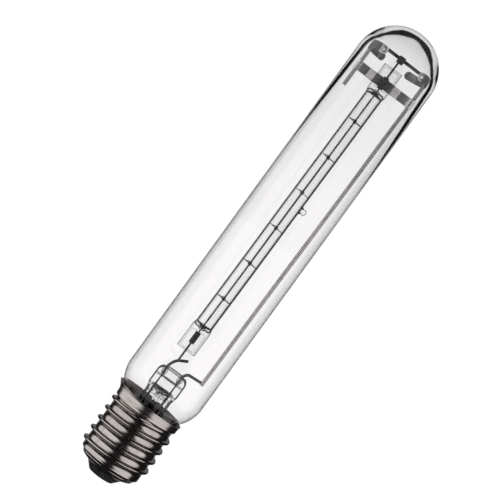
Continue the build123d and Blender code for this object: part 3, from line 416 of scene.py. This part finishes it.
def strap_metal():
    """Rolled strip: a painted reflection of white where it turns round the legs, grey along the sides, painted shade
    over the burner's pinch.
    """
    mat, g = material("strap_metal")
    shader = g.add("ShaderNodeBsdfPrincipled")
    shader.inputs["Metallic"].default_value = 1.0
    x, y, z = split_place(g)
    cloud = g.noise(g.object_space(), 160.0, 5.0, 0.6, 0.4)
    lines = g.noise(g.object_space((8, 8, 160)), 20.0, 4.0, 0.65)
    shade = g.math("ADD", g.math("MULTIPLY", g.ramp(cloud, 0.35, 0.65), 0.55), g.math("MULTIPLY", g.ramp(lines, 0.3, 0.7), 0.45))
    # painted reflection on the wraps round the legs, painted shade over the middle
    side = g.mix_color(shade, rgb(0.58, 0.56, 0.56), rgb(0.30, 0.29, 0.29))
    clean_and_glint = g.mix_color(shade, rgb(0.95, 0.93, 0.92), rgb(0.70, 0.68, 0.67))
    shade_tone = g.mix_color(shade, rgb(0.34, 0.33, 0.33), rgb(0.14, 0.135, 0.135))
    away = g.math("ABSOLUTE", g.math("ADD", x, 0.001))
    tone = g.mix_color(g.ramp(g.math("ABSOLUTE", g.math("ADD", x, 0.0012)), 0.0041, 0.0047), shade_tone, side)
    g.set(shader, "Base Color", g.mix_color(g.ramp(away, 0.0148, 0.0156), tone, clean_and_glint))
    g.set(shader, "Roughness", g.ramp(cloud, 0.3, 0.7, 0.2, 0.34))
    g.set(shader, "Normal", g.bump(g.math("ADD", lines, g.math("MULTIPLY", cloud, 0.8)), 0.5, 0.00003))
    g.finish(shader.outputs[0])
    return mat


strap_mat = strap_metal()
clip_mat = metal("clip_metal", rgb(0.12, 0.115, 0.115), rgb(0.06, 0.058, 0.058), 0.4, (60, 60, 60), 0.3, 90.0, 0.6)
tungsten_mat = metal("tungsten", rgb(0.12, 0.12, 0.125), rgb(0.06, 0.06, 0.065), 0.34, (200, 200, 200), 0.3, 200.0, 0.5)
foil_mat = metal("foil", rgb(0.26, 0.25, 0.25), rgb(0.14, 0.135, 0.135), 0.3, (30, 30, 90), 0.3, 150.0, 0.6)
moly_mat = metal("molybdenum", rgb(0.10, 0.10, 0.10), rgb(0.05, 0.05, 0.05), 0.36, (150, 150, 20), 0.3, 160.0, 0.6)


def insulator():
    mat, g = material("black_insulator")
    shader = g.add("ShaderNodeBsdfPrincipled")
    shader.inputs["IOR"].default_value = 1.52
    shader.inputs["Coat Weight"].default_value = 0.25
    shader.inputs["Coat Roughness"].default_value = 0.12
    cloud = g.noise(g.object_space(), 120.0, 5.0, 0.65, 0.6)
    scuff = g.noise(g.object_space((1, 1, 4), (0.4, 0.2, 0.0)), 320.0, 4.0, 0.7)
    g.set(shader, "Base Color", g.mix_color(g.ramp(cloud, 0.35, 0.75), rgb(0.008, 0.008, 0.01), rgb(0.028, 0.026, 0.028)))
    g.set(shader, "Roughness", g.ramp(scuff, 0.35, 0.75, 0.22, 0.5))
    g.set(shader, "Normal", g.bump(g.math("ADD", cloud, g.math("MULTIPLY", scuff, 0.4)), 0.35, 0.00012))
    g.finish(shader.outputs[0])
    return mat


def cement():
    mat, g = material("capping_cement")
    shader = g.add("ShaderNodeBsdfPrincipled")
    grain = g.noise(g.object_space(), 900.0, 6.0, 0.7)
    cloud = g.noise(g.object_space(), 130.0, 4.0, 0.6)
    g.set(shader, "Base Color", g.mix_color(g.ramp(cloud, 0.3, 0.7), rgb(0.42, 0.36, 0.28), rgb(0.25, 0.21, 0.165)))
    g.set(shader, "Roughness", g.ramp(grain, 0.3, 0.7, 0.75, 0.95))
    g.set(shader, "Normal", g.bump(grain, 0.6, 0.0002))
    g.finish(shader.outputs[0])
    return mat


insulator_mat = insulator()
cement_mat = cement()

node_materials = {
    "cap_shell": cap_mat,
    "cap_insulator": insulator_mat,
    "centre_contact": contact_mat,
    "contact_solder": solder_mat,
    "capping_cement": cement_mat,
    "stem_glass": stem_mat,
    "exhaust_tube": stem_mat,
    "burner_tube": quartz_mat,
    "lead_inner_left": lead_mat,
    "lead_inner_right": lead_mat,
    "lead_outer_left": lead_mat,
    "lead_outer_right": lead_mat,
    "lead_seal_left": seal_mat,
    "lead_seal_right": seal_mat,
    "frame_wire": frame_mat,
    "spring_left": spring_left_mat,
    "spring_right": spring_right_mat,
    "top_clip": clip_mat,
    "band_front": strap_mat,
    "band_back": strap_mat,
    "filament": tungsten_mat,
    "filament_leg_lower": tungsten_mat,
    "filament_leg_upper": tungsten_mat,
    "foil_lower": foil_mat,
    "foil_upper": foil_mat,
    "burner_lead_lower": moly_mat,
    "burner_lead_upper": moly_mat,
    "outer_bulb": glass_outside,
}
for number in range(1, 7):
    node_materials[f"filament_support_{number}"] = tungsten_mat
for name, obj in nodes.items():
    obj.data.materials.clear()
    obj.data.materials.append(node_materials[name])

# ------------------------------------------------------------------ mesh helpers


def link(name, mesh):
    obj = bpy.data.objects.new(name, mesh)
    scene.collection.objects.link(obj)
    return obj


def mesh_from(name, verts, faces, smooth=True, materials=(), slots=None):
    mesh = bpy.data.meshes.new(name)
    mesh.from_pydata([tuple(v) for v in verts], [], faces)
    for mat in materials:
        mesh.materials.append(mat)
    if slots is not None:
        mesh.polygons.foreach_set("material_index", slots)
    if smooth:
        mesh.polygons.foreach_set("use_smooth", [True] * len(mesh.polygons))
    mesh.update()
    return mesh


def tube(points, radius, sides, closed=False):
    """Vertices and faces of a round wire along points, in metres. radius may be one number or one for each point."""
    pts = np.array(points, float)
    n = len(pts)
    radii = np.full(n, radius) if np.isscalar(radius) else np.array(radius, float)
    tangent = np.gradient(pts, axis=0)
    tangent /= np.linalg.norm(tangent, axis=1)[:, None]
    ref = np.array([0.0, 0.0, 1.0]) if abs(tangent[0][2]) < 0.9 else np.array([0.0, 1.0, 0.0])
    side = np.cross(tangent[0], ref)
    side /= np.linalg.norm(side)
    angles = np.linspace(0, 2 * math.pi, sides, endpoint=False)
    verts = []
    for i in range(n):
        side = side - tangent[i] * side.dot(tangent[i])
        side /= np.linalg.norm(side)
        up = np.cross(tangent[i], side)
        ring = pts[i] + radii[i] * (np.cos(angles)[:, None] * side + np.sin(angles)[:, None] * up)
        verts.extend(ring)
    faces = []
    for i in range(n - 1):
        a, b = i * sides, (i + 1) * sides
        for k in range(sides):
            m = (k + 1) % sides
            faces.append((a + k, a + m, b + m, b + k))
    faces.append(tuple(range(sides - 1, -1, -1)))
    faces.append(tuple(range((n - 1) * sides, n * sides)))
    return verts, faces


def merged(parts):
    verts, faces = [], []
    for v, f in parts:
        base = len(verts)
        verts.extend(v)
        faces.extend(tuple(i + base for i in face) for face in f)
    return verts, faces


# ------------------------------------------------------------------ outer bulb
# Same wall as the CAD node, on a fine even mesh, with an inside face of its own.
BULB_R, GLASS_T, TOP_Z = 23.0, 0.9, 286.0
THICKEN_Z, APEX_IN = 195.0, 282.4
SHOULDER_R, SHOULDER_Z, NECK_R, BLEND_R, NECK_END = 20.0, 60.0, 15.8, 8.0, 20.7


def bulb_profile(inset):
    """(r, z) from the neck's end to the apex, in mm."""
    blend = BLEND_R + inset
    reach = math.sqrt((SHOULDER_R + BLEND_R) ** 2 - (NECK_R + BLEND_R - (BULB_R - SHOULDER_R)) ** 2)
    blend_x, blend_z = NECK_R + BLEND_R, SHOULDER_Z - reach
    cx = BULB_R - SHOULDER_R
    turn = math.atan2(reach, blend_x - cx)
    big = SHOULDER_R - inset
    line = [(NECK_R - inset, NECK_END + (blend_z - NECK_END) * i / 8) for i in range(8)]
    for i in range(13):
        a = turn * i / 12
        line.append((blend_x - blend * math.cos(a), blend_z + blend * math.sin(a)))
    for i in range(1, 17):
        a = turn * (1 - i / 16)
        line.append((cx + big * math.cos(a), SHOULDER_Z - big * math.sin(a)))
    top = TOP_Z - BULB_R
    if inset == 0:
        steps, arc = 34, 40
        for i in range(1, steps + 1):
            line.append((BULB_R, SHOULDER_Z + (top - SHOULDER_Z) * i / steps))
        for i in range(1, arc + 1):
            a = math.pi / 2 * i / arc
            line.append((BULB_R * math.cos(a), top + BULB_R * math.sin(a)))
        return line
    for i in range(1, 23):
        line.append((BULB_R - inset, SHOULDER_Z + (THICKEN_Z - SHOULDER_Z) * i / 22))
    knots = [
        (BULB_R - inset, THICKEN_Z), (22.0, 216.0), (21.72, 230.0), (21.4, 240.0), (20.98, 250.0), (20.57, 260.0),
        (20.29, 265.0), (19.79, 267.5), (18.83, 270.0), (16.2, 274.0), (12.0, 278.0), (6.6, 281.15), (0, APEX_IN),
    ]
    pts = [(BULB_R - inset, THICKEN_Z - 20.0)] + knots + [(-6.6, 281.15)]
    for k in range(1, len(pts) - 2):
        p = [np.array(q, float) for q in pts[k - 1:k + 3]]
        t = [0.0]
        for a, b in zip(p, p[1:]):
            t.append(t[-1] + math.sqrt(np.linalg.norm(b - a)))
        count = 7 if k > 5 else 5
        for i in range(1, count + 1):
            v = t[1] + (t[2] - t[1]) * i / count
            a1 = (t[1] - v) / (t[1] - t[0]) * p[0] + (v - t[0]) / (t[1] - t[0]) * p[1]
            a2 = (t[2] - v) / (t[2] - t[1]) * p[1] + (v - t[1]) / (t[2] - t[1]) * p[2]
            a3 = (t[3] - v) / (t[3] - t[2]) * p[2] + (v - t[2]) / (t[3] - t[2]) * p[3]
            b1 = (t[2] - v) / (t[2] - t[0]) * a1 + (v - t[0]) / (t[2] - t[0]) * a2
            b2 = (t[3] - v) / (t[3] - t[1]) * a2 + (v - t[1]) / (t[3] - t[1]) * a3
            line.append(tuple((t[2] - v) / (t[2] - t[1]) * b1 + (v - t[1]) / (t[2] - t[1]) * b2))
    return line


def bulb_mesh():
    around = 176
    outer, inner = bulb_profile(0.0), bulb_profile(GLASS_T)
    verts, faces, slots = [], [], []
    starts = []
    for kind, line in (("out", outer), ("in", inner)):
        starts.append(len(verts))
        for j, (r, z) in enumerate(line[:-1]):
            for k in range(around):
                a = 2 * math.pi * k / around
                x, y = math.cos(a), math.sin(a)
                rr = r
                if kind == "in":
                    wave = noise.noise(Vector((x * 1.3, y * 1.3, z * 0.022)))
                    fade = min(1.0, (z - NECK_END) / 30.0, (258.0 - z) / 20.0)
                    rr = r + 0.07 * wave * max(fade, 0.0)
                verts.append((rr * x * MM, rr * y * MM, z * MM))
        verts.append((0.0, 0.0, line[-1][1] * MM))
    for kind, start, line in ((0, starts[0], outer), (1, starts[1], inner)):
        rings = len(line) - 1
        for j in range(rings - 1):
            for k in range(around):
                a, b = start + j * around + k, start + j * around + (k + 1) % around
                c, d = b + around, a + around
                faces.append((a, b, c, d) if kind == 0 else (a, d, c, b))
                slots.append(kind)
        apex = start + rings * around
        last = start + (rings - 1) * around
        for k in range(around):
            a, b = last + k, last + (k + 1) % around
            faces.append((a, b, apex) if kind == 0 else (b, a, apex))
            slots.append(kind)
    for k in range(around):
        a, b = starts[0] + k, starts[0] + (k + 1) % around
        c, d = starts[1] + (k + 1) % around, starts[1] + k
        faces.append((a, d, c, b))
        slots.append(0)
    return mesh_from("bulb_envelope", verts, faces, True, (glass_outside, glass_inside), slots)


bulb = link("bulb_envelope", bulb_mesh())
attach(bulb, "root")
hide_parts("outer_bulb")

# ------------------------------------------------------------------ filament and supports
FOOT, HEAD = Vector((-2.35, 0.0, 80.4)), Vector((-0.60, 0.0, 263.1))
AXIS = (HEAD - FOOT).normalized()
SIDE = Vector((AXIS.z, 0.0, -AXIS.x))
BACK = Vector((0.0, 1.0, 0.0))


def along(z):
    return (z - FOOT.z) / AXIS.z


def at_burner(u, v, w):
    """Point at u to the side, v to the back and w up the burner's axis, in metres."""
    return (FOOT + SIDE * u + BACK * v + AXIS * w) * MM


def filament_mesh():
    low, high = along(99.5), along(243.5)
    wire, mean, pitch, per = 0.09, 0.46, 0.256, 12
    turns = (high - low - 2 * wire) / pitch
    count = int(turns * per)
    points = []
    for i in range(count + 1):
        t = i / per
        a = 2 * math.pi * t
        points.append(at_burner(mean * math.cos(a), mean * math.sin(a), low + wire + pitch * t))
    return mesh_from("filament_coil", *tube(points, wire * MM, 6), True, (tungsten_mat,))


coil = link("filament_coil", filament_mesh())
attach(coil, "root")
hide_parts("filament")


def support_mesh(name, height):
    """One wire: four close turns on the coil, a spoke, and an open ring on the bore."""
    mid = along(height)
    wire, sleeve, pitch, turns, ring = 0.2, 0.75, 0.42, 4, 3.92
    points = []
    for i in range(turns * 16 + 1):
        a = 2 * math.pi * i / 16
        points.append(at_burner(sleeve * math.cos(a), sleeve * math.sin(a), mid - pitch * turns / 2 + pitch * i / 16))
    top = mid + pitch * turns / 2
    for i in range(1, 9):
        a = math.pi * i / 8
        points.append(at_burner(sleeve * math.cos(a), sleeve * math.sin(a), top))

    def tipped(u, v):
        return at_burner(u, v, mid - 0.075 * u)

    for i in range(1, 6):
        t = i / 6
        u = -sleeve - (ring - 0.75 - sleeve) * t
        end = mid + 0.075 * (ring - 0.75)
        points.append(at_burner(u, 0.12 * math.sin(math.pi * t), top + (end - top) * (3 * t * t - 2 * t**3)))
    for i in range(7):
        a = math.pi / 2 * i / 6
        points.append(tipped(-(ring - 0.75 + 0.75 * math.sin(a)), -0.75 + 0.75 * math.cos(a)))
    for i in range(1, 49):
        a = math.radians(192 + 330 * i / 48)
        points.append(tipped(ring * math.cos(a), ring * math.sin(a)))
    return mesh_from(name, *tube(points, wire * MM, 8), True, (tungsten_mat,))


for number, height in enumerate((113.8, 137.0, 160.0, 182.9, 205.8, 229.2), start=1):
    wire = link(f"support_wire_{number}", support_mesh(f"support_wire_{number}", height))
    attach(wire, "root")
    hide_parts(f"filament_support_{number}")

# ------------------------------------------------------------------ stage, light and camera
floor_mesh = mesh_from(
    "floor",
    [(-12, -12, -0.16), (12, -12, -0.16), (12, 12, -0.16), (-12, 12, -0.16)],
    [(0, 1, 2, 3)],
    False,
)
floor = link("floor", floor_mesh)
floor_mat, g = material("floor_paper")
path = g.add("ShaderNodeLightPath")
paper = g.add("ShaderNodeBsdfDiffuse")
fibre = g.noise(g.object_space(), 60.0, 4.0, 0.6)
g.set(paper, "Color", g.mix_color(fibre, rgb(0.93, 0.93, 0.93), rgb(0.95, 0.95, 0.95)))
glow = g.add("ShaderNodeEmission", Color=rgb(1, 1, 1), Strength=0.1)
lit = g.add("ShaderNodeAddShader")
g.tree.links.new(paper.outputs[0], lit.inputs[0])
g.tree.links.new(glow.outputs[0], lit.inputs[1])
clear = g.add("ShaderNodeBsdfTransparent")
pick = g.add("ShaderNodeMixShader")
below = g.add("ShaderNodeNewGeometry")
g.tree.links.new(g.math("MAXIMUM", g.math("GREATER_THAN", path.outputs["Glossy Depth"], 0.5), below.outputs["Backfacing"]), pick.inputs[0])
g.tree.links.new(lit.outputs[0], pick.inputs[1])
g.tree.links.new(clear.outputs[0], pick.inputs[2])
g.finish(pick.outputs[0])
floor.data.materials.append(floor_mat)

# The studio: white paper seen directly and through clear glass, and for what
# metal and glass mirror, two tall soft boxes left and right with dark between.
world = bpy.data.worlds.new("studio")
world.use_nodes = True
world.cycles.sampling_method = "NONE"
scene.world = world
g = Graph(world.node_tree)
coords = g.add("ShaderNodeTexCoord")
split = g.add("ShaderNodeSeparateXYZ")
g.tree.links.new(coords.outputs["Generated"], split.inputs[0])
azimuth = g.math("ARCTAN2", split.outputs["X"], g.math("MULTIPLY", split.outputs["Y"], -1.0))
height = g.math("ARCSINE", split.outputs["Z"])


def deg(x):
    return math.radians(x)


def window(value, low, high, soft):
    return g.math(
        "MULTIPLY",
        g.ramp(value, deg(low - soft), deg(low + soft)),
        g.ramp(value, deg(high - soft), deg(high + soft), 1.0, 0.0),
    )



def soft_box(low, high, tall, soft):
    """A lamp with rounded ends between two azimuths, in degrees."""
    u = g.math("DIVIDE", g.math("SUBTRACT", azimuth, deg((low + high) / 2)), deg((high - low) / 2))
    v = g.math("DIVIDE", height, deg(tall))
    far = g.math("POWER", g.math("ADD", g.math("POWER", g.math("ABSOLUTE", u), 3.0), g.math("POWER", g.math("ABSOLUTE", v), 3.0)), 1 / 3)
    return g.ramp(far, 1.0 - soft, 1.0 + soft, 1.0, 0.0)


right = soft_box(18, 94, 31, 0.2)
left = soft_box(-122, -18, 31, 0.17)
behind = g.math("MULTIPLY", g.ramp(g.math("ABSOLUTE", azimuth), deg(148), deg(158)), window(height, -34, 34, 7))
boxes = g.math("ADD", g.math("ADD", g.math("MULTIPLY", right, 0.95), g.math("MULTIPLY", left, 0.95)), g.math("MULTIPLY", behind, 0.16))
studio = g.math("ADD", boxes, 0.014)
path = g.add("ShaderNodeLightPath")
mirrored = g.math("GREATER_THAN", path.outputs["Glossy Depth"], 0.5)
in_wall = g.math("LESS_THAN", g.math("ABSOLUTE", g.math("SUBTRACT", path.outputs["Transmission Depth"], 2.0)), 0.5)
use_studio = g.math("MULTIPLY", mirrored, g.math("SUBTRACT", 1.0, in_wall))
round_wall = g.math("MULTIPLY", mirrored, in_wall)
plain = g.math("SUBTRACT", 1.0, g.math("MULTIPLY", round_wall, 0.1))
level = g.math("ADD", g.math("MULTIPLY", studio, use_studio), g.math("MULTIPLY", plain, g.math("SUBTRACT", 1.0, use_studio)))
sky = g.add("ShaderNodeBackground", Color=rgb(1, 1, 1))
g.tree.links.new(level, sky.inputs["Strength"])
out = g.add("ShaderNodeOutputWorld")
g.tree.links.new(sky.outputs[0], out.inputs["Surface"])

scene.view_settings.view_transform = "Standard"
scene.view_settings.look = "None"

# The lamp leans 36 degrees to the right. The camera stands near, level with a
# point 179 mm up the lamp's axis, so the cap is seen from 8 degrees above and
# the dome from 5 degrees below.
LEAN, DISTANCE, LEVEL = math.radians(35.94), 950.0 * MM, 179.0 * MM
PX_PER_M = 1.910 / MM
centre = Vector((-5.875, 0.0, 142.7)) * MM
eye = Vector((centre.x, -DISTANCE, LEVEL))
back = (eye - centre).normalized()
cam_right = Vector((-math.sin(LEAN), 0.0, math.cos(LEAN))).cross(back).normalized()
cam_up = back.cross(cam_right)
cam_data = bpy.data.cameras.new("camera")
cam_data.sensor_width = 36.0
cam_data.sensor_fit = "HORIZONTAL"
cam_data.lens = 36.0 * (eye - centre).length * PX_PER_M / 500
cam_data.clip_start, cam_data.clip_end = 0.05, 60.0
cam = bpy.data.objects.new("camera", cam_data)
scene.collection.objects.link(cam)
cam.matrix_world = Matrix.Translation(eye) @ Matrix((cam_right, cam_up, back)).transposed().to_4x4()
scene.camera = cam
